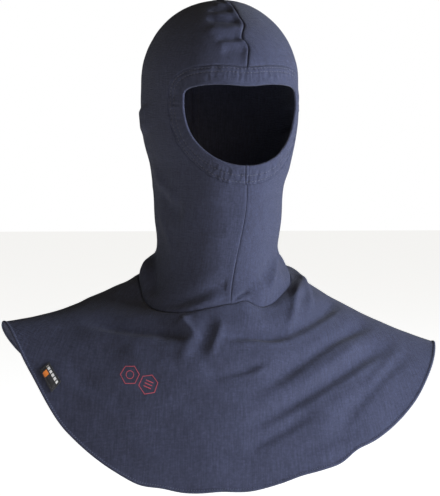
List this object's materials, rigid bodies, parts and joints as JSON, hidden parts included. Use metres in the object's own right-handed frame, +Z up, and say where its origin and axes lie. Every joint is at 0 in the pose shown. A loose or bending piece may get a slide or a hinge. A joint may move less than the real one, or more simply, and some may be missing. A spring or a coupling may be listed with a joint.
{
  "type": "welding balaclava",
  "caption": "Knitted protective hood with a banded face opening and a wide shoulder bib, in the form it takes when worn under a welding mask.",
  "frame": {"origin": "inside the crown, where the top of the wearer's head carries the hood", "axes": "+Z up, -Y the way the wearer's chest faces, +X the wearer's left; the face looks a little to the wearer's left"},
  "size_m": [0.47, 0.2842, 0.5122],
  "materials": {
    "hood_knit": "dark navy jersey knit",
    "band_knit": "dark navy jersey knit, two layers, twin stitched",
    "bib_knit": "dark navy jersey knit with an overlocked hem",
    "label_weave": "black woven label with a plain square and a row of plain bars"
  },
  "bodies": {
    "root": {"hood_right": "hood_knit", "hood_left": "hood_knit", "face_band": "band_knit", "bib": "bib_knit", "side_label": "label_weave"}
  },
  "joints": []
}
